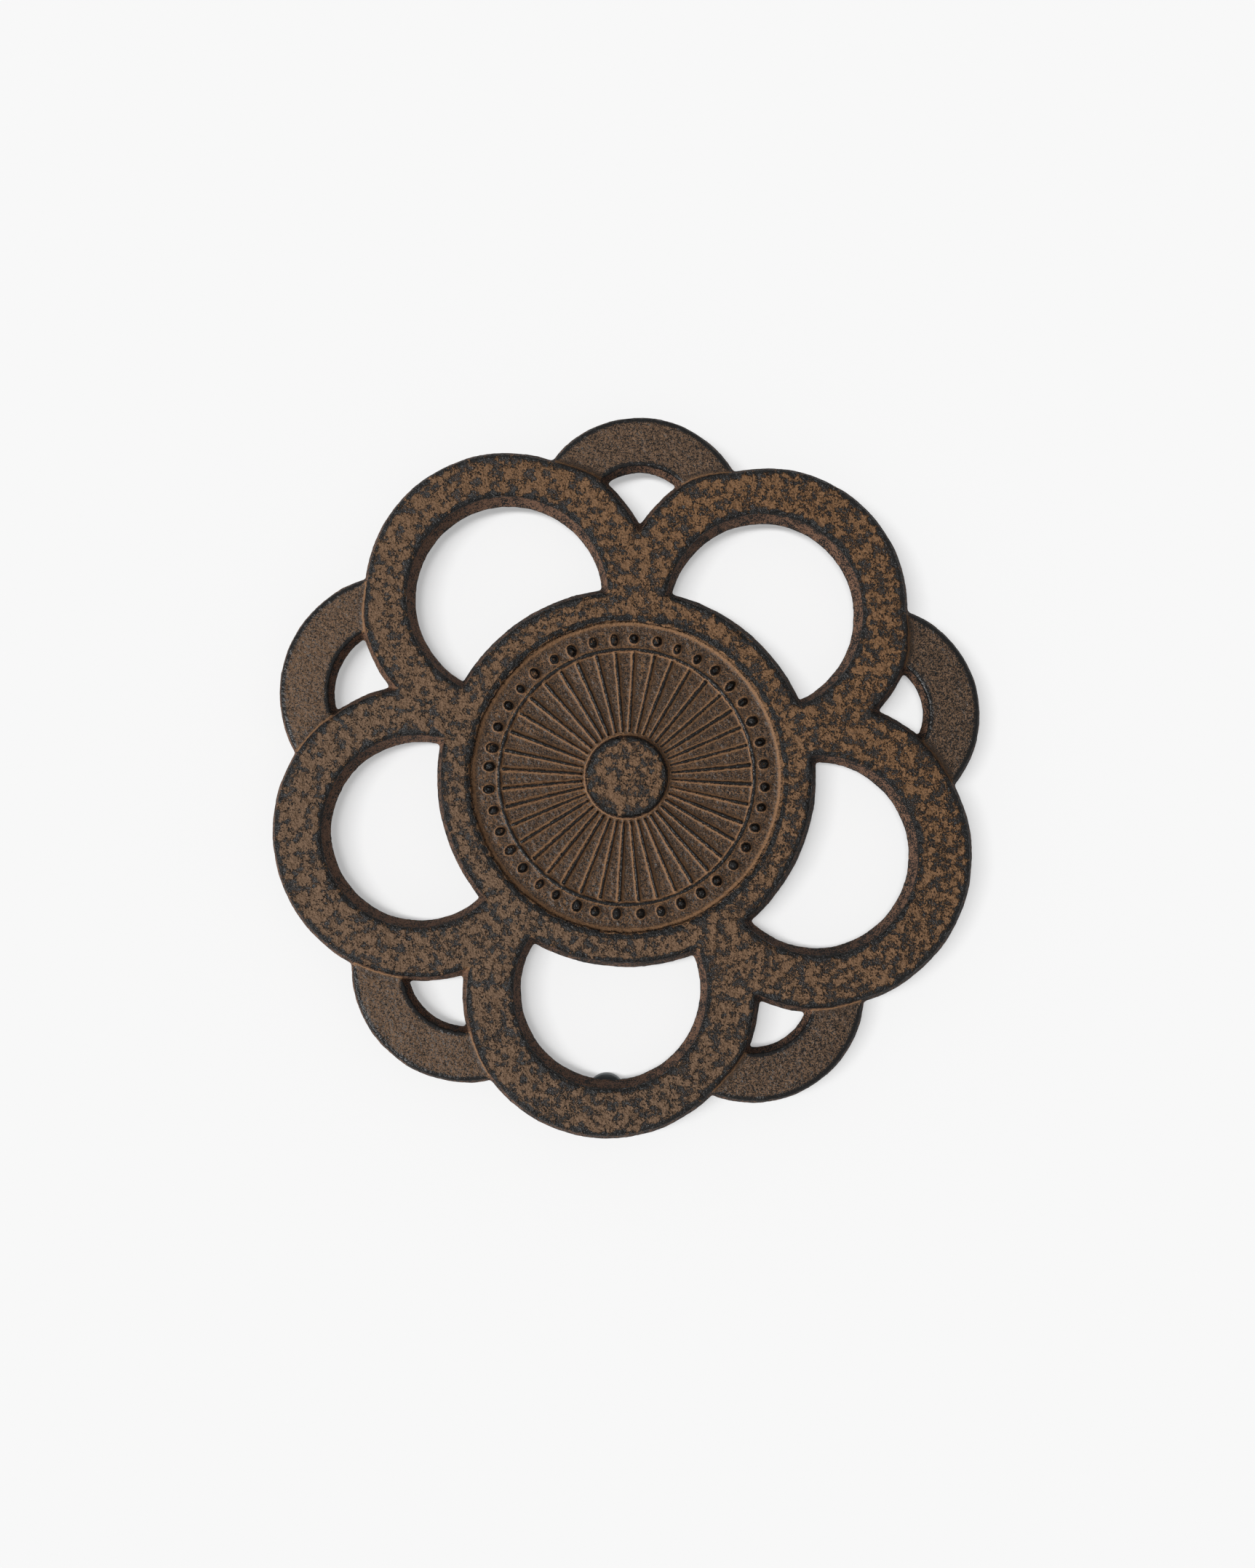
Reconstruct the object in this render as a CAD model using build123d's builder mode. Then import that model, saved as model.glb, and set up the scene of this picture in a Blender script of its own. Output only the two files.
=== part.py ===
import os
from math import radians, tan

from build123d import *

# Cast-iron trivet: a ribbed and beaded medallion inside five ring petals, with five lower
# petals behind them, on three legs with rubber caps. The front of the trivet is -Y.

# Casting as a whole
overall_diameter = 160.0
front_thickness = 7.2       # hub and front petals, from the flat underside to the top
rear_drop = 2.2             # the rear petals lie this much lower than the front ones
underside_height = 6.8      # clear space under the casting
draft_angle = 12.5          # taper of every upright wall, so that the pattern leaves the sand
edge_break = 0.7            # bevel that breaks every upper edge
junction_radius = 0.7       # hollow fillet where a front petal rises from a rear one

# Petals: radii are at the underside, where the drafted walls are widest
petal_count = 5
front_petal_radius = 33.4
front_window_radius = 20.2
rear_petal_radius = 25.2
rear_window_radius = 12.6

# Hub and medallion
hub_radius = 42.0           # at the underside
rim_width = 5.8             # flat rim round the medallion
channel_depth = 1.5         # bead channel, below the rim
channel_wall_run = 1.4      # sideways run of the wall from the rim down into the channel
channel_width = 5.0
field_step = 0.35           # the ribbed field lies this much deeper than the channel
field_step_run = 0.6
boss_radius = 9.2           # at its foot
boss_wall_run = 0.5
boss_edge_break = 1.0

# Ribs and beads
rib_count = 40
rib_width = 1.1
rib_height = 0.5
rib_flank_angle = 45.0
rib_end_gap = 0.5           # bare floor between a rib's end and the wall beside it
bead_count = 40
bead_radius = 0.95
bead_height = 0.8
bead_sides = 6
bead_flank_angle = 35.0
bead_inset = 1.9            # from the channel's inner edge to the middle of the beads

# Legs and rubber caps
foot_names = ["front_foot", "right_foot", "left_foot"]
leg_root_radius = 3.3
leg_tip_radius = 2.7
cap_radius = 4.5
cap_height = 4.4
cap_floor = 1.8             # rubber under the leg
cap_edge_break = 0.6
cap_clearance = 0.05        # all round the leg inside the cap
cap_show = 1.2              # the front cap shows this much inside its window

# Dependent sizes
draft_run = tan(radians(draft_angle))
rear_thickness = front_thickness - rear_drop
top_height = underside_height + front_thickness
rear_top_height = underside_height + rear_thickness
outer_radius = overall_diameter / 2
petal_step = 360 / petal_count
front_angle = -90.0
rear_angle = front_angle + petal_step / 2
front_petal_center = outer_radius - front_petal_radius
rear_petal_center = outer_radius - rear_petal_radius
hub_top_radius = hub_radius - front_thickness * draft_run
recess_radius = hub_top_radius - rim_width
channel_outer_radius = recess_radius - channel_wall_run
channel_inner_radius = channel_outer_radius - channel_width
field_radius = channel_inner_radius - field_step_run
channel_height = top_height - channel_depth
field_height = channel_height - field_step
hub_seat_radius = recess_radius + rim_width / 2
bead_circle_radius = channel_inner_radius + bead_inset
rib_start = boss_radius + rib_end_gap
rib_end = field_radius - rib_end_gap
foot_circle_radius = front_petal_center + front_window_radius - cap_show + cap_radius
leg_length = underside_height - cap_floor
leg_taper = (leg_root_radius - leg_tip_radius) / leg_length
socket_depth = cap_height - cap_floor

on_underside = (Align.CENTER, Align.CENTER, Align.MIN)
tolerance = 0.001


def narrowed(radius, thickness):
    """Radius of an outer wall at the top of its draft."""
    return radius - thickness * draft_run


def widened(radius, thickness):
    """Radius of a window at the top of its draft."""
    return radius + thickness * draft_run


def arcs_at(builder, height, radius):
    """Circular edges of one radius at one height."""
    level = builder.edges().filter_by_position(Axis.Z, height - tolerance, height + tolerance)
    return level.filter_by(GeomType.CIRCLE).filter_by(lambda edge: abs(edge.radius - radius) < tolerance)


# Front petal: a drafted disc with a bevelled upper edge, its window is cut later
with BuildPart() as front_petal:
    with Locations((0, 0, underside_height)):
        Cone(
            front_petal_radius,
            narrowed(front_petal_radius, front_thickness),
            front_thickness,
            align=on_underside,
        )
    chamfer(front_petal.edges().group_by(Axis.Z)[-1], edge_break)

# Rear petal: a lower ring with both upper edges bevelled
with BuildPart() as rear_petal:
    with Locations((0, 0, underside_height)):
        Cone(
            rear_petal_radius,
            narrowed(rear_petal_radius, rear_thickness),
            rear_thickness,
            align=on_underside,
        )
        Cone(
            rear_window_radius,
            widened(rear_window_radius, rear_thickness),
            rear_thickness,
            align=on_underside,
            mode=Mode.SUBTRACT,
        )
    chamfer(rear_petal.edges().group_by(Axis.Z)[-1], edge_break)

# Hub: one turned profile with the rim, the bead channel, the ribbed field's floor and the boss
with BuildPart() as hub:
    with BuildSketch(Plane.XZ) as hub_section:
        with BuildLine():
            Polyline(
                (0, underside_height),
                (hub_radius, underside_height),
                (hub_top_radius, top_height),
                (recess_radius, top_height),
                (channel_outer_radius, channel_height),
                (channel_inner_radius, channel_height),
                (field_radius, field_height),
                (boss_radius, field_height),
                (boss_radius - boss_wall_run, top_height),
                (0, top_height),
                close=True,
            )
        make_face()
        top_corners = hub_section.vertices().group_by(Axis.Y)[-1].sort_by(Axis.X)
        chamfer(top_corners[2:], edge_break)
        chamfer(top_corners[1], boss_edge_break)
    revolve(axis=Axis.Z)
    with BuildSketch(Plane.XY.offset(field_height)):
        with PolarLocations((rib_start + rib_end) / 2, rib_count, front_angle):
            Rectangle(rib_end - rib_start, rib_width)
    extrude(amount=rib_height, taper=rib_flank_angle)
    with BuildSketch(Plane.XY.offset(channel_height)):
        with PolarLocations(bead_circle_radius, bead_count, front_angle):
            RegularPolygon(bead_radius, bead_sides)
    extrude(amount=bead_height, taper=bead_flank_angle)

# Leg: a short tapered stub under the casting
with BuildPart() as leg:
    with Locations((0, 0, cap_floor)):
        Cone(leg_tip_radius, leg_root_radius, leg_length, align=on_underside)

# Junction: a front petal on the two rear petals beside it, with the fillet that joins them
with BuildPart() as junction:
    with PolarLocations(rear_petal_center, 2, rear_angle - petal_step, petal_step, endpoint=True):
        add(rear_petal.part)
    with PolarLocations(front_petal_center, 1, front_angle):
        add(front_petal.part)
    junction_arc_radius = narrowed(front_petal_radius, rear_thickness)
    fillet(arcs_at(junction, rear_top_height, junction_arc_radius), junction_radius)

# Casting: petals, windows, hub and legs in one piece of iron
with BuildPart() as iron_casting:
    with PolarLocations(0, petal_count):
        add(junction.part)
    with PolarLocations(front_petal_center, petal_count, front_angle):
        with Locations((0, 0, underside_height)):
            Cone(
                front_window_radius,
                widened(front_window_radius, front_thickness),
                front_thickness,
                align=on_underside,
                mode=Mode.SUBTRACT,
            )
    window_edge_radius = widened(front_window_radius, front_thickness)
    chamfer(arcs_at(iron_casting, top_height, window_edge_radius), edge_break)
    with Locations((0, 0, underside_height)):
        Cylinder(hub_seat_radius, front_thickness, align=on_underside, mode=Mode.SUBTRACT)
    add(hub.part)
    with PolarLocations(foot_circle_radius, len(foot_names), front_angle):
        add(leg.part)

iron_casting.part.label = "iron_casting"

# Rubber cap: a blind socket, tapered like the leg, on a thick floor
with BuildPart() as cap:
    with BuildSketch(Plane.XZ) as cap_section:
        with BuildLine():
            Polyline(
                (0, 0),
                (cap_radius, 0),
                (cap_radius, cap_height),
                (leg_tip_radius + leg_taper * socket_depth + cap_clearance, cap_height),
                (leg_tip_radius + cap_clearance, cap_floor),
                (0, cap_floor),
                close=True,
            )
        make_face()
        chamfer(cap_section.vertices().group_by(Axis.X)[-1], cap_edge_break)
    revolve(axis=Axis.Z)

os.makedirs("parts", exist_ok=True)
export_step(iron_casting.part, "parts/iron_casting.step")

foot_places = PolarLocations(foot_circle_radius, len(foot_names), front_angle).locations
for foot_name, foot_place in zip(foot_names, foot_places):
    with BuildPart() as foot:
        with Locations(foot_place):
            add(cap.part)
    foot.part.label = foot_name
    export_step(foot.part, f"parts/{foot_name}.step")
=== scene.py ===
import math
import random

import bmesh
import bpy
import numpy as np
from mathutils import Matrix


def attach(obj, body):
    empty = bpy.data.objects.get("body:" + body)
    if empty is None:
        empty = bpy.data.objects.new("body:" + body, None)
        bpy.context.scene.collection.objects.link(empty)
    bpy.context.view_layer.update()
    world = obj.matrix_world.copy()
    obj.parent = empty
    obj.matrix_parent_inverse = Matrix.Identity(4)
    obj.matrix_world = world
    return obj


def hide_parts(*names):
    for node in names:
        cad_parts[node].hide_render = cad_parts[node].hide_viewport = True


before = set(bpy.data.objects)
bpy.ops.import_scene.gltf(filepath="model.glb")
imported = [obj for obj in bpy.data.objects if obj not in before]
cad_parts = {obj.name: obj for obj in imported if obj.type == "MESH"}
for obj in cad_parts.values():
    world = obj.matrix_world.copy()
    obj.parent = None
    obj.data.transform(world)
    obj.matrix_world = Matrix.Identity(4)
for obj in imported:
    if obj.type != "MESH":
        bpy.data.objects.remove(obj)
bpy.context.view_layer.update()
print("frame loaded:", sorted(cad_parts))

mm = 0.001                                   # all sizes below are in millimetres
draft = math.tan(math.radians(12.5))         # taper of every upright wall of the casting
roundSides = 160                             # of every petal, window and leg
hair = 0.01                                  # room for rounding when points are picked by place
handMade = random.Random(23)                 # seeded, so the small irregularities stay the same


def nothingSelected():
    bpy.ops.object.select_all(action="DESELECT")


def makeActive(piece):
    nothingSelected()
    piece.select_set(True)
    bpy.context.view_layer.objects.active = piece


def pickVerts(piece, wanted):                # selects by place, in edit mode
    shape = bmesh.from_edit_mesh(piece.data)
    shape.select_mode = {"VERT"}
    for vert in shape.verts:
        vert.select_set(wanted(vert.co))
    shape.select_flush_mode()
    bmesh.update_edit_mesh(piece.data)


def finishWith(piece, kind, **settings):     # adds one modifier and applies it
    makeActive(piece)
    modifier = piece.modifiers.new(kind.lower(), kind)
    for name, value in settings.items():
        setattr(modifier, name, value)
    bpy.ops.object.modifier_apply(modifier=modifier.name)


def joinPieces(pieces, name):
    nothingSelected()
    for piece in pieces:
        piece.select_set(True)
    bpy.context.view_layer.objects.active = pieces[0]
    bpy.ops.object.join()
    joined = bpy.context.object
    joined.name = joined.data.name = name
    return joined


def copyOf(piece):                           # a copy with its own mesh
    twin = piece.copy()
    twin.data = piece.data.copy()
    bpy.context.scene.collection.objects.link(twin)
    return twin


def polar(angle, reach):
    return reach * math.cos(math.radians(angle)), reach * math.sin(math.radians(angle))


def draftedDisc(name, place, bottom, height, radius, lean):
    nothingSelected()
    x, y = place
    bpy.ops.mesh.primitive_cylinder_add(
        vertices=roundSides, radius=radius * mm, depth=height * mm,
        location=(x * mm, y * mm, (bottom + height / 2) * mm))
    disc = bpy.context.object
    disc.name = name
    bpy.ops.object.mode_set(mode="EDIT")
    pickVerts(disc, lambda co: co.z > 0)
    taper = (radius + lean * height) / radius
    bpy.ops.transform.resize(value=(taper, taper, 1),
                             center_override=(x * mm, y * mm, (bottom + height) * mm))
    bpy.ops.object.mode_set(mode="OBJECT")
    bpy.ops.object.transform_apply()
    return disc


# Petals. Each was carved by hand in the pattern, so each has its own place and radius at the
# underside. The flanks swell beside the small windows: clockwise side, then the other.
petals = {
    "underside": 6.8, "frontThickness": 7.2, "rearThickness": 5.0, "cutterRoom": 1.0,
    "swellFrom": 50, "swellTo": 75,          # degrees from the petal's axis
    "front": [
        {"angle": -91.3, "reach": 47.5, "radius": 32.4, "window": (-90.6, 47.0, 19.7), "swell": (-0.2, 1.2)},
        {"angle": -18.3, "reach": 46.0, "radius": 33.8, "window": (-18.6, 45.2, 20.4), "swell": (1.0, 0.75)},
        {"angle": 54.0, "reach": 48.7, "radius": 31.3, "window": (53.8, 46.7, 20.3), "swell": (2.3, 2.5)},
        {"angle": 126.9, "reach": 48.5, "radius": 31.6, "window": (127.2, 47.2, 20.6), "swell": (1.8, 1.5)},
        {"angle": 198.5, "reach": 46.8, "radius": 33.1, "window": (198.3, 47.1, 19.6), "swell": (-0.3, 0.0)},
    ],
    "rear": [
        {"angle": -55.7, "reach": 54.7, "radius": 24.8, "hole": 12.35},
        {"angle": 18.2, "reach": 55.4, "radius": 24.6, "hole": 11.8},
        {"angle": 90.8, "reach": 55.8, "radius": 24.3, "hole": 11.8},
        {"angle": 163.4, "reach": 53.5, "radius": 26.7, "hole": 14.3},
        {"angle": 233.6, "reach": 54.4, "radius": 25.8, "hole": 13.2},
    ],
}


def swellFlanks(petal, spec):
    x, y = polar(spec["angle"], spec["reach"])
    for vert in petal.data.vertices:
        outX, outY = vert.co.x - x * mm, vert.co.y - y * mm
        offAxis = (math.degrees(math.atan2(outY, outX)) - spec["angle"] + 180) % 360 - 180
        part = (abs(offAxis) - petals["swellFrom"]) / (petals["swellTo"] - petals["swellFrom"])
        part = min(max(part, 0), 1)
        swell = spec["swell"][0 if offAxis < 0 else 1] * part * part * (3 - 2 * part)
        grow = 1 + swell * mm / math.hypot(outX, outY)
        vert.co.x, vert.co.y = x * mm + outX * grow, y * mm + outY * grow


def cutWith(piece, cutters):
    for cutter in cutters:
        finishWith(piece, "BOOLEAN", operation="DIFFERENCE", solver="EXACT", object=cutter)


def makePetals():
    under, front, rear = petals["underside"], petals["frontThickness"], petals["rearThickness"]
    room = petals["cutterRoom"]
    windows = []
    for n, spec in enumerate(petals["front"]):
        angle, reach, radius = spec["window"]
        windows.append(draftedDisc(f"windowCutter{n}", polar(angle, reach), under - room, front + 2 * room,
                                   radius - room * draft, draft))
    hubSeat = draftedDisc("hubSeatCutter", (0, 0), under - room, front + 2 * room, hub["seatRadius"], 0)
    made = []
    for n, spec in enumerate(petals["front"]):
        petal = draftedDisc(f"frontPetal{n}", polar(spec["angle"], spec["reach"]), under, front,
                            spec["radius"], -draft)
        swellFlanks(petal, spec)
        cutWith(petal, [windows[n - 1], windows[n], windows[(n + 1) % len(windows)], hubSeat])
        made.append(petal)
    for n, spec in enumerate(petals["rear"]):
        place = polar(spec["angle"], spec["reach"])
        petal = draftedDisc(f"rearPetal{n}", place, under, rear, spec["radius"], -draft)
        hole = draftedDisc("holeCutter", place, under - room, rear + 2 * room,
                           spec["hole"] - room * draft, draft)
        cutWith(petal, [hole, windows[n], windows[(n + 1) % len(windows)], hubSeat])
        bpy.data.objects.remove(hole)
        made.append(petal)
    for cutter in [*windows, hubSeat]:
        bpy.data.objects.remove(cutter)
    return made


# Hub. The medallion is stepped into its top face: each step is an inset and a rise or drop.
hub = {
    "radius": 42.0, "seatRadius": 37.0, "sides": 240,
    "steps": [
        (5.8, 0.0),                          # flat rim
        (1.4, -1.55),                        # wall down into the bead channel
        (5.0, 0.0),                          # floor of the bead channel
        (0.6, -0.4),                         # step down to the ribs
        (18.4, 0.0),                         # floor under the ribs
        (0.5, 1.95),                         # boss
    ],
    "channelSteps": 3, "fieldSteps": 5,      # how many steps lead to each floor
}


def makeHub():
    under, thick = petals["underside"], petals["frontThickness"]
    nothingSelected()
    bpy.ops.mesh.primitive_cylinder_add(
        vertices=hub["sides"], radius=hub["radius"] * mm, depth=thick * mm,
        location=(0, 0, (under + thick / 2) * mm))
    disc = bpy.context.object
    disc.name = "hub"
    bpy.ops.object.mode_set(mode="EDIT")
    pickVerts(disc, lambda co: co.z > 0)
    taper = 1 - thick * draft / hub["radius"]
    bpy.ops.transform.resize(value=(taper, taper, 1), center_override=(0, 0, (under + thick) * mm))
    for width, rise in hub["steps"]:
        bpy.ops.mesh.inset(thickness=width * mm, depth=rise * mm)
    bpy.ops.object.mode_set(mode="OBJECT")
    bpy.ops.object.transform_apply()
    return disc


def floorAfter(steps):                       # height of the hub's surface after its first steps
    top = petals["underside"] + petals["frontThickness"]
    return top + sum(rise for _, rise in hub["steps"][:steps])


# Thin raised ring between the bead channel and the ribs
thinRing = {"circle": 28.0, "radius": 0.48, "rise": 0.16, "aroundCircle": 240, "aroundSection": 12}


def makeThinRing():
    height = floorAfter(hub["channelSteps"]) + thinRing["rise"] - thinRing["radius"] / 2
    nothingSelected()
    bpy.ops.mesh.primitive_torus_add(
        major_radius=thinRing["circle"] * mm, minor_radius=thinRing["radius"] * mm,
        major_segments=thinRing["aroundCircle"], minor_segments=thinRing["aroundSection"],
        location=(0, 0, height * mm))
    ring = bpy.context.object
    ring.name = "thinRing"
    bpy.ops.object.transform_apply()
    return ring


# Ribs: ridges with a sharp crest, wider towards the thin ring
ribs = {
    "count": 40, "start": 9.5, "end": 27.6, "outerWidth": 1.9, "innerWidth": 1.0, "crest": 0.25,
    "crestLength": 0.94,                     # as a share of the rib's length
    "height": 0.85, "sunk": 0.5, "heightSpread": 0.1, "turnSpread": 0.5,
}


def makeRibs():
    floor = floorAfter(hub["fieldSteps"])
    tall = ribs["height"] + ribs["sunk"]
    middle = (ribs["start"] + ribs["end"]) / 2
    nothingSelected()
    bpy.ops.mesh.primitive_cube_add(
        size=1, location=(middle * mm, 0, (floor - ribs["sunk"] + tall / 2) * mm),
        scale=((ribs["end"] - ribs["start"]) * mm, ribs["outerWidth"] * mm, tall * mm))
    rib = bpy.context.object
    rib.name = "rib"
    bpy.ops.object.transform_apply()
    crestHeight = (floor + ribs["height"]) * mm
    bpy.ops.object.mode_set(mode="EDIT")
    pickVerts(rib, lambda co: co.x < middle * mm)
    bpy.ops.transform.resize(value=(1, ribs["innerWidth"] / ribs["outerWidth"], 1),
                             center_override=(0, 0, 0))
    pickVerts(rib, lambda co: co.z > crestHeight - hair * mm)
    bpy.ops.transform.resize(value=(ribs["crestLength"], ribs["crest"] / ribs["outerWidth"], 1),
                             center_override=(middle * mm, 0, crestHeight))
    bpy.ops.object.mode_set(mode="OBJECT")
    made = []
    for n in range(ribs["count"]):
        twin = copyOf(rib)
        turn = 360 / ribs["count"] * n - 90 + handMade.uniform(-1, 1) * ribs["turnSpread"]
        lift = handMade.uniform(-1, 1) * ribs["heightSpread"]
        twin.rotation_euler.z = math.radians(turn)
        twin.location.z = lift * mm
        made.append(twin)
    bpy.data.objects.remove(rib)
    return made


# Beads: small uneven knobs on the channel's floor, longer towards the hub's middle than across
beads = {
    "count": 40, "circle": 30.15, "radius": 1.28, "narrow": 0.8, "rise": 1.4,
    "sizeSpread": 0.14, "turnSpread": 0.7, "reachSpread": 0.2, "segments": 16, "rings": 10,
}


def makeBeads():
    floor = floorAfter(hub["channelSteps"])
    nothingSelected()
    bpy.ops.mesh.primitive_uv_sphere_add(segments=beads["segments"], ring_count=beads["rings"],
                                         radius=beads["radius"] * mm, location=(0, 0, 0))
    bead = bpy.context.object
    bead.name = "bead"
    bpy.ops.object.mode_set(mode="EDIT")
    pickVerts(bead, lambda co: co.z > 0)
    bpy.ops.transform.resize(value=(1, 1, beads["rise"] / beads["radius"]), center_override=(0, 0, 0))
    bpy.ops.mesh.select_all(action="SELECT")
    bpy.ops.transform.resize(value=(1, beads["narrow"], 1), center_override=(0, 0, 0))
    bpy.ops.object.mode_set(mode="OBJECT")
    made = []
    for n in range(beads["count"]):
        twin = copyOf(bead)
        turn = 360 / beads["count"] * n - 90 + handMade.uniform(-1, 1) * beads["turnSpread"]
        reach = beads["circle"] + handMade.uniform(-1, 1) * beads["reachSpread"]
        x, y = polar(turn, reach)
        twin.location = (x * mm, y * mm, floor * mm)
        twin.rotation_euler.z = math.radians(turn)
        twin.scale = [1 + handMade.uniform(-1, 1) * beads["sizeSpread"] for _ in range(3)]
        made.append(twin)
    bpy.data.objects.remove(bead)
    return made


# Legs: short stubs that the rubber caps are pushed over
legs = {"circle": 70.1, "tipRadius": 2.7, "rootRadius": 3.3, "tipHeight": 1.8, "sunk": 1.0,
        "angles": {"frontCap": -90, "rightCap": 30, "leftCap": 150}}


def makeLegs():
    long = petals["underside"] - legs["tipHeight"]
    lean = (legs["rootRadius"] - legs["tipRadius"]) / long
    return [draftedDisc(f"{cap}Leg", polar(angle, legs["circle"]), legs["tipHeight"], long + legs["sunk"],
                        legs["tipRadius"], lean)
            for cap, angle in legs["angles"].items()]


# Skin of the casting: how finely the pieces are fused, and the unevenness that sand and carving leave
skin = {
    "bodyVoxel": 0.3, "bodySmoothing": 4, "fineVoxel": 0.22, "fineSmoothing": 2, "smoothing": 0.5,
    "triangles": 190000,
    # size across and height of each kind of unevenness
    "unevenness": {"carvedWaves": (7.0, 0.7), "castLumps": (2.2, 0.3), "sandGrain": (0.8, 0.32)},
    "topFacing": 0.5, "wallFacing": -0.6,    # upward part of the normal on top faces and on walls
    "sunkShare": 0.55, "sunkLevel": 13.3, "wallShare": 0.35,
    "fineRounds": 6, "broadRounds": 60, "hubReach": 43.5, "outerReach": 69,
    "medallionReach": 32.4, "medallionLevel": 11.0, "keptRing": 0.6,
    "tuck": 1.0, "castingTuck": 1.01, "medallionTuck": 0.99,
}


def normalsOf(piece):
    normal = np.empty(len(piece.data.vertices) * 3, np.float32)
    piece.data.vertex_normals.foreach_get("vector", normal)
    return normal.reshape(-1, 3)


def placesOf(piece):
    place = np.empty(len(piece.data.vertices) * 3, np.float32)
    piece.data.vertices.foreach_get("co", place)
    return place.reshape(-1, 3).astype(float)


def outwardOf(piece):                        # 1 on the hub's own wall and on the petals' outer ends
    place, normal = placesOf(piece), normalsOf(piece)
    reach = np.hypot(place[:, 0], place[:, 1])
    away = (place[:, 0] * normal[:, 0] + place[:, 1] * normal[:, 1]) / np.maximum(reach, mm)
    inner, outer = skin["hubReach"] * mm, skin["outerReach"] * mm
    return np.where((reach < inner) | (reach > outer), away, 0)


def reliefOf(piece, rounds):                 # how far each vertex stands out of its softened surroundings
    mesh = piece.data
    count = len(mesh.vertices)
    place = placesOf(piece)
    ends = np.empty(len(mesh.edges) * 2, np.int32)
    mesh.edges.foreach_get("vertices", ends)
    a, b = ends[::2], ends[1::2]
    degree = np.bincount(ends, minlength=count)[:, None]
    soft = place.copy()
    for _ in range(rounds):
        near = np.stack([np.bincount(a, soft[b, k], count) + np.bincount(b, soft[a, k], count)
                         for k in range(3)], 1)
        soft = (soft + near / degree) / 2
    return ((place - soft) * normalsOf(piece)).sum(1) / mm


def keepAttribute(piece, name, values):
    attribute = piece.data.attributes.new(name, "FLOAT", "POINT")
    attribute.data.foreach_set("value", values.astype(np.float32))


def roughen(piece, name, size, height):
    texture = bpy.data.textures.new(name, "CLOUDS")
    texture.noise_scale = size * mm
    texture.noise_depth = 1
    finishWith(piece, "DISPLACE", texture=texture, texture_coords="LOCAL", strength=height * mm,
               mid_level=0.5, vertex_group="worked")


def partMedallion(casting):                  # a mesh of its own, so that both stay fine enough
    reach, level = skin["medallionReach"] * mm, skin["medallionLevel"] * mm
    makeActive(casting)
    bpy.ops.object.mode_set(mode="EDIT")
    pickVerts(casting, lambda co: co.z > level and math.hypot(co.x, co.y) < reach)
    bpy.ops.mesh.separate(type="SELECTED")
    bpy.ops.object.mode_set(mode="OBJECT")
    medallion = next(piece for piece in bpy.context.selected_objects if piece != casting)
    medallion.name = medallion.data.name = "medallion"
    return medallion


def thinOut(piece):                          # fewer triangles, none of them lost where the two meshes meet
    place = placesOf(piece)
    fromSeam = np.abs(np.hypot(place[:, 0], place[:, 1]) - skin["medallionReach"] * mm)
    loose = (fromSeam > skin["keptRing"] * mm) | (place[:, 2] < skin["medallionLevel"] * mm)
    thinned = piece.vertex_groups.new(name="thinned")
    thinned.add(np.flatnonzero(loose).tolist(), 1.0, "REPLACE")
    faceCount = sum(len(face.vertices) - 2 for face in piece.data.polygons)
    finishWith(piece, "DECIMATE", ratio=min(1.0, skin["triangles"] / faceCount), vertex_group="thinned")
    piece.vertex_groups.remove(piece.vertex_groups["thinned"])


def closeBelow(piece, grow):                 # tucks the open edge in under the surface and caps it
    makeActive(piece)
    bpy.ops.object.mode_set(mode="EDIT")
    bpy.ops.mesh.select_mode(type="EDGE")
    bpy.ops.mesh.select_all(action="DESELECT")
    bpy.ops.mesh.select_non_manifold(use_wire=False, use_multi_face=False, use_non_contiguous=False,
                                     use_verts=False)
    bpy.ops.mesh.mark_sharp()
    bpy.ops.mesh.extrude_edges_move(TRANSFORM_OT_translate={"value": (0, 0, -skin["tuck"] * mm)})
    bpy.ops.transform.resize(value=(grow, grow, 1), center_override=(0, 0, 0))
    bpy.ops.mesh.edge_face_add()
    bpy.ops.mesh.select_all(action="SELECT")
    bpy.ops.mesh.normals_make_consistent(inside=False)
    bpy.ops.object.mode_set(mode="OBJECT")


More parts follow.
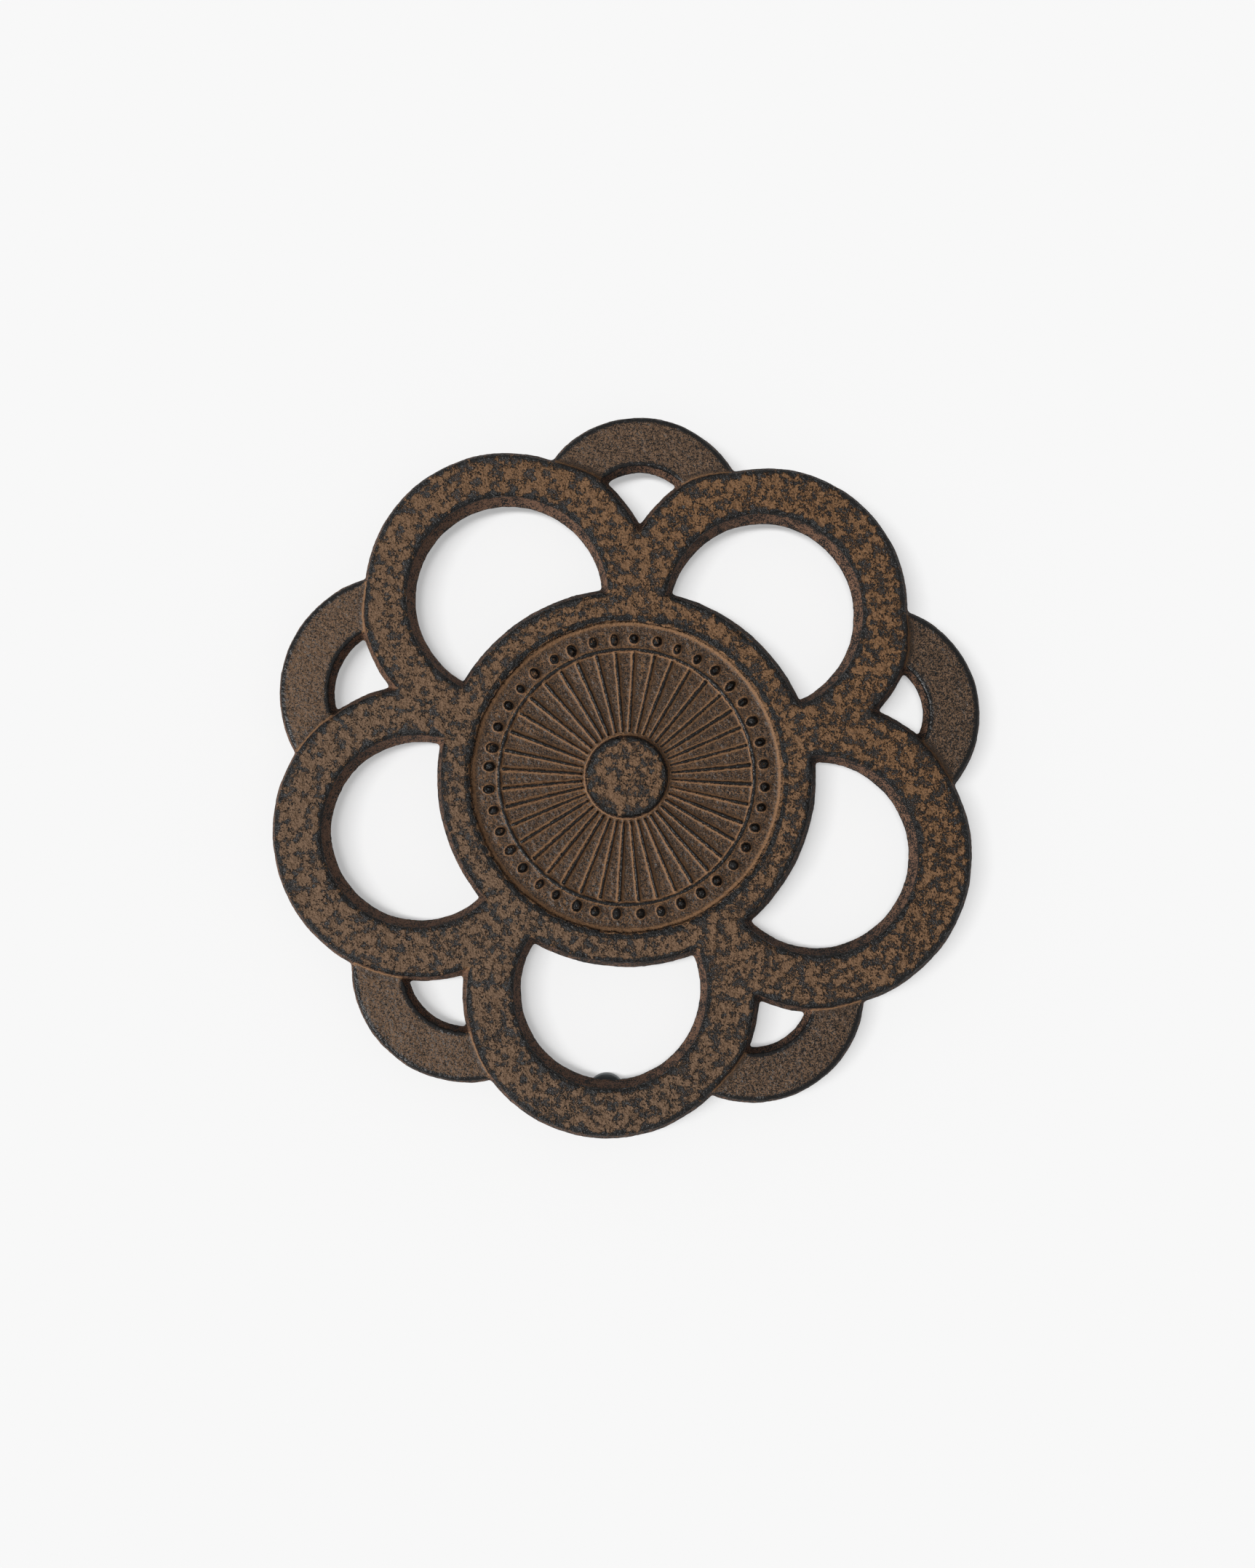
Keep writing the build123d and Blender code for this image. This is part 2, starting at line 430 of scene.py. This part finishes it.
def makeCasting():
    body = joinPieces([*makePetals(), makeHub()], "ironCasting")
    print("petals and hub joined:", len(body.data.vertices), "vertices")
    finishWith(body, "REMESH", mode="VOXEL", voxel_size=skin["bodyVoxel"] * mm)
    finishWith(body, "SMOOTH", factor=skin["smoothing"], iterations=skin["bodySmoothing"])
    print("petals and hub fused:", len(body.data.vertices), "vertices")
    casting = joinPieces([body, makeThinRing(), *makeRibs(), *makeBeads(), *makeLegs()], "ironCasting")
    finishWith(casting, "REMESH", mode="VOXEL", voxel_size=skin["fineVoxel"] * mm)
    finishWith(casting, "SMOOTH", factor=skin["smoothing"], iterations=skin["fineSmoothing"])
    print("ring, ribs, beads and legs fused:", len(casting.data.vertices), "vertices")

    keepAttribute(casting, "broadRelief", reliefOf(casting, skin["broadRounds"]))
    # the top is worked in full, sunk faces and walls less, the underside not at all
    worked = casting.vertex_groups.new(name="worked")
    up, level = normalsOf(casting)[:, 2], placesOf(casting)[:, 2] / mm
    onTop = up > skin["topFacing"]
    onWall = (up > skin["wallFacing"]) & ~onTop
    sunk = onTop & (level < skin["sunkLevel"])
    for where, amount in ((onTop, 1.0), (sunk, skin["sunkShare"]), (onWall, skin["wallShare"])):
        worked.add(np.flatnonzero(where).tolist(), amount, "REPLACE")
    for name, (size, height) in skin["unevenness"].items():
        roughen(casting, name, size, height)
    casting.vertex_groups.remove(casting.vertex_groups["worked"])
    keepAttribute(casting, "fineRelief", reliefOf(casting, skin["fineRounds"]))
    keepAttribute(casting, "facing", normalsOf(casting)[:, 2])
    keepAttribute(casting, "outward", outwardOf(casting))

    medallion = partMedallion(casting)
    for piece, grow in ((casting, skin["castingTuck"]), (medallion, skin["medallionTuck"])):
        thinOut(piece)
        closeBelow(piece, grow)
        bpy.ops.object.shade_smooth()
        print(piece.name, "finished:", len(piece.data.polygons), "faces")
    return casting, medallion


# Rubber caps: moulded cups with rounded edges, pushed over the legs
caps = {
    "radius": 4.15, "height": 4.4, "floor": 1.8, "clearance": 0.05, "edge": 0.6, "sides": 72,
    "hollowRadius": 3.0, "hollowDepth": 0.25, "edgeSteps": 5, "smoothAngle": 40,
    "nodes": {"frontCap": "front_foot", "rightCap": "right_foot", "leftCap": "left_foot"},
}


def makeCap():
    nothingSelected()
    bpy.ops.mesh.primitive_cylinder_add(vertices=caps["sides"], radius=caps["radius"] * mm,
                                        depth=caps["height"] * mm, location=(0, 0, caps["height"] / 2 * mm))
    cap = bpy.context.object
    bpy.ops.object.transform_apply()
    socketDepth = caps["height"] - caps["floor"]
    lean = (legs["rootRadius"] - legs["tipRadius"]) / (petals["underside"] - legs["tipHeight"])
    mouth = legs["tipRadius"] + lean * socketDepth + caps["clearance"]
    bottom = legs["tipRadius"] + caps["clearance"]
    bpy.ops.object.mode_set(mode="EDIT")
    bpy.ops.mesh.bevel(offset=caps["edge"] * mm, segments=caps["edgeSteps"], affect="EDGES")
    pickVerts(cap, lambda co: co.z > (caps["height"] - hair) * mm)
    bpy.ops.mesh.inset(thickness=(caps["radius"] - caps["edge"] - mouth) * mm)
    bpy.ops.mesh.extrude_region_move(TRANSFORM_OT_translate={"value": (0, 0, -socketDepth * mm)})
    bpy.ops.transform.resize(value=(bottom / mouth, bottom / mouth, 1),
                             center_override=(0, 0, caps["floor"] * mm))
    pickVerts(cap, lambda co: co.z < hair * mm)
    bpy.ops.mesh.inset(thickness=(caps["radius"] - caps["edge"] - caps["hollowRadius"]) * mm)
    bpy.ops.mesh.inset(thickness=caps["hollowDepth"] * mm, depth=-caps["hollowDepth"] * mm)
    bpy.ops.object.mode_set(mode="OBJECT")
    bpy.ops.object.shade_smooth_by_angle(angle=math.radians(caps["smoothAngle"]))
    return cap


def makeCaps():
    cap = makeCap()
    made = []
    for name, angle in legs["angles"].items():
        twin = copyOf(cap)
        twin.name = twin.data.name = name
        x, y = polar(angle, legs["circle"])
        twin.location = (x * mm, y * mm, 0)
        makeActive(twin)
        bpy.ops.object.transform_apply()
        made.append(twin)
    bpy.data.objects.remove(cap)
    return made


def linear(hexColour):                       # sRGB hex to the linear values that the nodes take
    channels = [int(hexColour[k:k + 2], 16) / 255 for k in (1, 3, 5)]
    return [c / 12.92 if c < 0.04045 else ((c + 0.055) / 1.055) ** 2.4 for c in channels] + [1.0]


def addNode(tree, kind, inputs=None, **settings):
    node = tree.nodes.new(kind)
    for name, value in settings.items():
        setattr(node, name, value)
    for socket, value in (inputs or {}).items():
        if isinstance(value, bpy.types.NodeSocket):
            tree.links.new(value, node.inputs[socket])
        else:
            node.inputs[socket].default_value = value
    return node


# Grains of moulding sand are 0.1 to 0.3 mm, too fine to show from where the camera stands, so grit
# and dust are drawn coarser. Bands say where a mark begins and where it is full.
lacquer = {
    "colours": {
        # the slope brown is lighter than the others, partly a painted highlight on the slopes
        "brown": "#725b48", "rustBrown": "#7a5a3e", "thinBrown": "#574333", "slopeBrownWithPaintedHighlight": "#866549",
        "wallBrown": "#6f5240", "black": "#0b0908", "slate": "#505153",
    },
    "specular": 0.18, "brownRoughness": 0.7, "blackRoughness": 0.2, "wallRoughness": 0.9, "bumpDepth": 0.3,
    "drawn": 0.55,                           # shrinks heights, so that grain on the walls is long
    "noises": {                              # size in millimetres, detail, roughness of the detail
        "patch": (2.0, 5.0, 0.6), "lump": (0.9, 1.0, 0.5),
        "grit": (0.42, 2.0, 0.6), "dust": (0.24, 1.0, 0.5),
    },
    "masks": {                               # each from one of the attributes that the casting keeps
        "slope": "facing", "wall": "facing", "under": "facing",
        "outer": "outward", "openFace": "broadRelief",
    },
    "bands": {
        "slope": (0.97, 0.8), "wall": (0.6, 0.4), "under": (-0.2, -0.6), "outer": (0.3, 0.7),
        "openFace": (-0.06, -0.02), "crest": (0.29, 0.37), "patches": (0.72, 0.82), "flecks": (1.05, 1.15),
        "speckle": (0.34, 1.0), "pepper": (0.85, 1.23), "gritty": (1.37, 1.53), "thin": (1.05, 0.75),
        "pale": (0.82, 1.22),
    },
    "halfWidth": 80,
    # painted light from the left: more brown patches, more brown speckle and paler black grains towards the
    # left, so the left side looks lit
    "paintedLightFromLeft": {"paintedLightPatches": (0.35, -0.15), "paintedLightBrown": (0.16, -0.13), "paintedLightPale": (1.35, 0.3)},
    "topLevel": (13.2, 13.6), "rust": (-50, 70), "medallion": 34.5, "rimEdge": 34.95, "rimEdgeWidth": 0.45,
    "edgeWear": {"grit": 0.4, "onTop": 0.03, "rimEdge": 0.08},
    "patchWear": {"grit": 0.45, "dust": 0.15},
    # on the walls, more brown towards the left is painted light from the left
    "wallWear": {"paintedLightBrown": 2.5, "outer": -0.6},
    "allWear": {"fineRelief": -4.0, "crest": -1.5},
    "bumps": {"dust": 0.3, "lump": 2.0, "thickness": 1.2},
    "fleckShare": 0.7, "slopeShare": 0.6, "wallPatches": 0.9,
    "rearRust": 0.3, "sunkPale": 0.12, "sunkDepth": 0.35,
}


# Cast iron in a sand mould, brown lacquer dabbed over black and baked. The lacquer gathers in
# hollows and is thin on edges, so edges and crests show black and every foot of a wall is brown.
# It fills the grain of the sand, so brown patches look smooth and black ones gritty.
# In a mix node, inputs 2 and 3 are its plain values and 6 and 7 its colours.
def bakedLacquerOnCastIron():
    material = bpy.data.materials.new("bakedLacquerOnCastIron")
    material.use_nodes = True
    tree = material.node_tree
    shader = tree.nodes["Principled BSDF"]
    colours = {name: linear(code) for name, code in lacquer["colours"].items()}
    band = {name: {"From Min": start, "From Max": full} for name, (start, full) in lacquer["bands"].items()}
    coords = addNode(tree, "ShaderNodeTexCoord").outputs["Object"]
    place = addNode(tree, "ShaderNodeSeparateXYZ", {0: coords}).outputs
    drawn = addNode(tree, "ShaderNodeMapping", {
        "Vector": coords, "Scale": (1, 1, lacquer["drawn"])}).outputs[0]

    marks = {}
    for name, (size, detail, roughness) in lacquer["noises"].items():
        marks[name] = addNode(tree, "ShaderNodeTexNoise", {
            "Vector": drawn, "Scale": 1 / (size * mm),
            "Detail": detail, "Roughness": roughness}).outputs["Fac"]
    for name in ("broadRelief", "fineRelief", "facing", "outward"):
        marks[name] = addNode(tree, "ShaderNodeAttribute", attribute_name=name).outputs["Fac"]
    for name, source in lacquer["masks"].items():
        marks[name] = addNode(tree, "ShaderNodeMapRange", {
            "Value": marks[source], **band[name]}).outputs["Result"]
    # left-to-right ramps that paint light from the left onto the lacquer
    side = lacquer["halfWidth"] * mm
    for name, (left, right) in lacquer["paintedLightFromLeft"].items():
        marks[name] = addNode(tree, "ShaderNodeMapRange", {
            "Value": place["X"], "From Min": -side, "From Max": side,
            "To Min": left, "To Max": right}).outputs["Result"]
    fine = addNode(tree, "ShaderNodeMath", {0: marks["grit"], 1: marks["dust"]}, operation="ADD").outputs[0]
    topFrom, topTo = lacquer["topLevel"]
    onTop = marks["onTop"] = addNode(tree, "ShaderNodeMapRange", {
        "Value": place["Z"], "From Min": topFrom * mm, "From Max": topTo * mm}).outputs["Result"]
    flat = addNode(tree, "ShaderNodeVectorMath", {0: coords, 1: (1, 1, 0)}, operation="MULTIPLY").outputs[0]
    reach = addNode(tree, "ShaderNodeVectorMath", {0: flat}, operation="LENGTH").outputs["Value"]
    inside = addNode(tree, "ShaderNodeMath", {
        0: reach, 1: lacquer["medallion"] * mm}, operation="LESS_THAN").outputs[0]
    marks["rimEdge"] = addNode(tree, "ShaderNodeMath", {
        0: reach, 1: lacquer["rimEdge"] * mm,
        2: lacquer["rimEdgeWidth"] * mm}, operation="COMPARE").outputs[0]

    # ragged line along every edge and crest, wider on the upper faces
    ragged = marks["broadRelief"]
    for name, weight in lacquer["edgeWear"].items():
        ragged = addNode(tree, "ShaderNodeMath", {
            0: marks[name], 1: weight, 2: ragged}, operation="MULTIPLY_ADD").outputs[0]
    crest = marks["crest"] = addNode(tree, "ShaderNodeMapRange", {
        "Value": ragged, **band["crest"]}).outputs["Result"]

    # share of brown on the upper faces: ragged patches in the grit, with more of them towards the left as
    # painted light from the left
    patches = marks["patch"]
    for name, weight in lacquer["patchWear"].items():
        patches = addNode(tree, "ShaderNodeMath", {
            0: marks[name], 1: weight, 2: patches}, operation="MULTIPLY_ADD").outputs[0]
    patches = addNode(tree, "ShaderNodeMapRange", {
        "Value": patches, **band["patches"]}, clamp=False).outputs["Result"]
    patches = addNode(tree, "ShaderNodeMath", {
        0: patches, 1: marks["paintedLightPatches"]}, operation="ADD").outputs[0]
    flecks = addNode(tree, "ShaderNodeMapRange", {
        "Value": fine, **band["flecks"], "To Max": lacquer["fleckShare"]}).outputs["Result"]
    patches = addNode(tree, "ShaderNodeMath", {0: patches, 1: flecks}, operation="MAXIMUM").outputs[0]

    # share of brown on the sunk faces: an even speckle, more of it on slopes and outside the medallion, and
    # more towards the left as painted light from the left
    speckle = addNode(tree, "ShaderNodeMapRange", {
        "Value": marks["dust"], **band["speckle"]}, clamp=False).outputs["Result"]
    speckle = addNode(tree, "ShaderNodeMath", {
        0: marks["slope"], 1: lacquer["slopeShare"], 2: speckle}, operation="MULTIPLY_ADD").outputs[0]
    pepper = addNode(tree, "ShaderNodeMapRange", {
        "Value": fine, **band["pepper"]}, clamp=False).outputs["Result"]
    # more brown towards the left: painted light from the left
    pepper = addNode(tree, "ShaderNodeMath", {0: pepper, 1: marks["paintedLightBrown"]}, operation="ADD").outputs[0]
    speckle = addNode(tree, "ShaderNodeMix", {
        "Factor": marks["openFace"], 2: speckle, 3: pepper}, data_type="FLOAT").outputs[0]

    # share of brown on the walls: patchy and gritty all over, less of it on the outer ones, and more towards
    # the left as painted light from the left
    gritty = addNode(tree, "ShaderNodeMath", {
        0: marks["patch"], 1: lacquer["wallPatches"], 2: fine}, operation="MULTIPLY_ADD").outputs[0]
    gritty = addNode(tree, "ShaderNodeMapRange", {
        "Value": gritty, **band["gritty"]}, clamp=False).outputs["Result"]
    for name, weight in lacquer["wallWear"].items():
        gritty = addNode(tree, "ShaderNodeMath", {
            0: marks[name], 1: weight, 2: gritty}, operation="MULTIPLY_ADD").outputs[0]

    # the three together, worn off grains, edges and crests, and none on the underside
    share = addNode(tree, "ShaderNodeMix", {
        "Factor": onTop, 2: speckle, 3: patches}, data_type="FLOAT").outputs[0]
    share = addNode(tree, "ShaderNodeMix", {
        "Factor": marks["wall"], 2: share, 3: gritty}, data_type="FLOAT").outputs[0]
    for name, weight in lacquer["allWear"].items():
        share = addNode(tree, "ShaderNodeMath", {
            0: marks[name], 1: weight, 2: share}, operation="MULTIPLY_ADD").outputs[0]
    share = addNode(tree, "ShaderNodeMath", {
        0: share, 1: marks["under"]}, operation="SUBTRACT", use_clamp=True).outputs[0]

    # browns: redder towards the right and the back and in the medallion, darker where the coat is thin, and
    # lighter on slopes, where the brown band of gathered lacquer is partly a painted highlight on the lit
    # slopes
    across = addNode(tree, "ShaderNodeMath", {0: place["X"], 1: place["Y"]}, operation="ADD").outputs[0]
    rustFrom, rustTo = lacquer["rust"]
    rust = addNode(tree, "ShaderNodeMapRange", {
        "Value": across, "From Min": rustFrom * mm, "From Max": rustTo * mm}).outputs["Result"]
    sunkRust = addNode(tree, "ShaderNodeMapRange", {
        "Value": inside, "To Min": lacquer["rearRust"]}).outputs["Result"]
    rust = addNode(tree, "ShaderNodeMix", {
        "Factor": onTop, 2: sunkRust, 3: rust}, data_type="FLOAT").outputs[0]
    thin = addNode(tree, "ShaderNodeMapRange", {"Value": fine, **band["thin"]}).outputs["Result"]
    brown = colours["brown"]
    for part, name in ((rust, "rustBrown"), (thin, "thinBrown"),
                       (marks["slope"], "slopeBrownWithPaintedHighlight"), (marks["wall"], "wallBrown")):
        brown = addNode(tree, "ShaderNodeMix", {
            "Factor": part, 6: brown, 7: colours[name]}, data_type="RGBA").outputs[2]

    # blacks: paler grains within the patches, the more of them the further left, which is painted light from
    # the left
    pale = addNode(tree, "ShaderNodeMapRange", {"Value": fine, **band["pale"]}).outputs["Result"]
    pale = addNode(tree, "ShaderNodeMath", {
        0: pale, 1: marks["outer"]}, operation="SUBTRACT", use_clamp=True).outputs[0]
    inPatch = addNode(tree, "ShaderNodeMath", {
        0: onTop, 1: crest}, operation="SUBTRACT", use_clamp=True).outputs[0]
    inPatch = addNode(tree, "ShaderNodeMapRange", {
        "Value": inPatch, "To Min": lacquer["sunkPale"]}).outputs["Result"]
    for part in (inPatch, marks["paintedLightPale"]):
        pale = addNode(tree, "ShaderNodeMath", {0: pale, 1: part}, operation="MULTIPLY").outputs[0]
    black = addNode(tree, "ShaderNodeMix", {
        "Factor": pale, 6: colours["black"], 7: colours["slate"]}, data_type="RGBA").outputs[2]

    colour = addNode(tree, "ShaderNodeMix", {
        "Factor": share, 6: black, 7: brown}, data_type="RGBA").outputs[2]
    roughness = addNode(tree, "ShaderNodeMapRange", {
        "Value": share, "To Min": lacquer["blackRoughness"],
        "To Max": lacquer["brownRoughness"]}).outputs["Result"]
    roughness = addNode(tree, "ShaderNodeMix", {
        "Factor": marks["wall"], 2: roughness, 3: lacquer["wallRoughness"]}, data_type="FLOAT").outputs[0]

    # brown stands proud of black on the upper faces, and the sunk faces are smoother
    marks["thickness"] = addNode(tree, "ShaderNodeMath", {
        0: share, 1: onTop}, operation="MULTIPLY").outputs[0]
    height = marks["grit"]
    for name, weight in lacquer["bumps"].items():
        height = addNode(tree, "ShaderNodeMath", {
            0: marks[name], 1: weight, 2: height}, operation="MULTIPLY_ADD").outputs[0]
    depth = addNode(tree, "ShaderNodeMapRange", {
        "Value": onTop, "To Min": lacquer["sunkDepth"]}).outputs["Result"]
    height = addNode(tree, "ShaderNodeMath", {0: height, 1: depth}, operation="MULTIPLY").outputs[0]
    bump = addNode(tree, "ShaderNodeBump", {
        "Distance": lacquer["bumpDepth"] * mm, "Height": height}).outputs["Normal"]
    tree.links.new(colour, shader.inputs["Base Color"])
    tree.links.new(roughness, shader.inputs["Roughness"])
    tree.links.new(bump, shader.inputs["Normal"])
    shader.inputs["Specular IOR Level"].default_value = lacquer["specular"]
    return material


rubber = {
    "slate": "#4c5356", "dull": "#5a6063", "bloomSize": 1.6, "grainSize": 0.25, "grainDepth": 0.04,
    "grainStrength": 0.3, "roughness": 0.62,
}


# Slate-grey rubber from a mould. It is dull and even, with a faint paler bloom and a fine grain.
def mouldedRubber():
    material = bpy.data.materials.new("mouldedRubber")
    material.use_nodes = True
    tree = material.node_tree
    shader = tree.nodes["Principled BSDF"]
    coords = addNode(tree, "ShaderNodeTexCoord").outputs["Object"]
    bloom = addNode(tree, "ShaderNodeTexNoise", {
        "Vector": coords, "Scale": 1 / (rubber["bloomSize"] * mm), "Detail": 3.0}).outputs["Fac"]
    grain = addNode(tree, "ShaderNodeTexNoise", {
        "Vector": coords, "Scale": 1 / (rubber["grainSize"] * mm), "Detail": 1.0}).outputs["Fac"]
    colour = addNode(tree, "ShaderNodeMix", {
        "Factor": bloom, 6: linear(rubber["slate"]), 7: linear(rubber["dull"])}, data_type="RGBA").outputs[2]
    bump = addNode(tree, "ShaderNodeBump", {
        "Strength": rubber["grainStrength"], "Distance": rubber["grainDepth"] * mm,
        "Height": grain}).outputs["Normal"]
    tree.links.new(colour, shader.inputs["Base Color"])
    tree.links.new(bump, shader.inputs["Normal"])
    shader.inputs["Roughness"].default_value = rubber["roughness"]
    return material


def giveMaterial(piece, material):
    makeActive(piece)
    bpy.ops.object.material_slot_add()
    piece.material_slots[0].material = material


casting, medallion = makeCasting()
ironFinish = bakedLacquerOnCastIron()
for piece in (casting, medallion):
    giveMaterial(piece, ironFinish)
    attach(piece, "root")
    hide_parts("iron_casting")

capRubber = mouldedRubber()
rubberCaps = makeCaps()
for cap in rubberCaps:
    giveMaterial(cap, capRubber)
    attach(cap, "root")
    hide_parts(caps["nodes"][cap.name])
print("rubber caps finished")

# Stage: a pale floor that the camera sees as near-white paper, with the casting's shadow on it
stage = {
    "paper": "#f7f7f7", "white": "#ffffff", "paperLight": 0.93, "lift": 0.4, "roomLight": 0.16, "size": 6000,
}


def seenDirectly(tree):                      # camera, mirror and see-through rays
    path = addNode(tree, "ShaderNodeLightPath").outputs
    seen = addNode(tree, "ShaderNodeMath", {
        0: path["Is Camera Ray"], 1: path["Is Glossy Ray"]}, operation="MAXIMUM").outputs[0]
    return addNode(tree, "ShaderNodeMath", {
        0: seen, 1: path["Is Transmission Ray"]}, operation="MAXIMUM").outputs[0]


def palePaper():
    material = bpy.data.materials.new("palePaper")
    material.use_nodes = True
    tree = material.node_tree
    tree.nodes.remove(tree.nodes["Principled BSDF"])
    lift = addNode(tree, "ShaderNodeMath", {
        0: seenDirectly(tree), 1: stage["lift"]}, operation="MULTIPLY").outputs[0]
    paper = addNode(tree, "ShaderNodeBsdfDiffuse", {"Color": linear(stage["paper"])}).outputs[0]
    glow = addNode(tree, "ShaderNodeEmission", {
        "Color": linear(stage["white"]), "Strength": stage["paperLight"]}).outputs[0]
    mixed = addNode(tree, "ShaderNodeMixShader", {0: lift, 1: paper, 2: glow}).outputs[0]
    tree.links.new(mixed, tree.nodes["Material Output"].inputs["Surface"])
    return material


nothingSelected()
bpy.ops.mesh.primitive_plane_add(size=stage["size"] * mm)
floor = bpy.context.object
floor.name = "floor"
giveMaterial(floor, palePaper())

# Camera: nearly straight above, its foot a little towards the front
shot = {
    "lens": 50, "longSide": 36, "height": 489.0, "foot": 12.0, "turn": 3.7, "tilt": 1.3,
    "aside": 0.24, "up": -0.36,
}
lens = bpy.data.cameras.new("camera")
lens.lens, lens.sensor_width = shot["lens"], shot["longSide"]
camera = bpy.data.objects.new("camera", lens)
bpy.context.scene.collection.objects.link(camera)
turn = math.radians(shot["turn"])
camera.location = ((shot["foot"] * math.sin(turn) + shot["aside"]) * mm,
                   (-shot["foot"] * math.cos(turn) + shot["up"]) * mm, shot["height"] * mm)
camera.rotation_euler = (math.radians(shot["tilt"]), 0, turn)
bpy.context.scene.camera = camera

# Light: three lamps from the left for the object, and a row that gives the floor its soft shadow
lights = {
    "keyLamps": {
        "energy": 3.7, "softness": 18, "fromLeft": [28, 46, 52], "fromBack": -28,
        "lights": [casting, medallion, *rubberCaps],
    },
    "floorLamps": {
        "energy": 2.79, "softness": 8, "fromLeft": [2, 6, 10, 15, 20, 26], "fromBack": 0,
        "lights": [floor],
    },
}
for name, spec in lights.items():
    lit = bpy.data.collections.new(name)
    for piece in spec["lights"]:
        lit.objects.link(piece)
    for angle in spec["fromLeft"]:
        sun = bpy.data.lights.new(name, "SUN")
        sun.energy, sun.angle = spec["energy"] / len(spec["fromLeft"]), math.radians(spec["softness"])
        lamp = bpy.data.objects.new(name, sun)
        bpy.context.scene.collection.objects.link(lamp)
        lamp.rotation_euler = (0, math.radians(-angle), math.radians(-spec["fromBack"]))
        lamp.light_linking.receiver_collection = lit

world = bpy.data.worlds.new("room")
bpy.context.scene.world = world
world.use_nodes = True
tree = world.node_tree
strength = addNode(tree, "ShaderNodeMapRange", {
    "Value": seenDirectly(tree), "To Min": stage["roomLight"],
    "To Max": stage["paperLight"]}).outputs["Result"]
tree.nodes["Background"].inputs["Color"].default_value = linear(stage["white"])
tree.links.new(strength, tree.nodes["Background"].inputs["Strength"])
bpy.context.scene.view_settings.view_transform = "Standard"
print("stage, camera and light set")
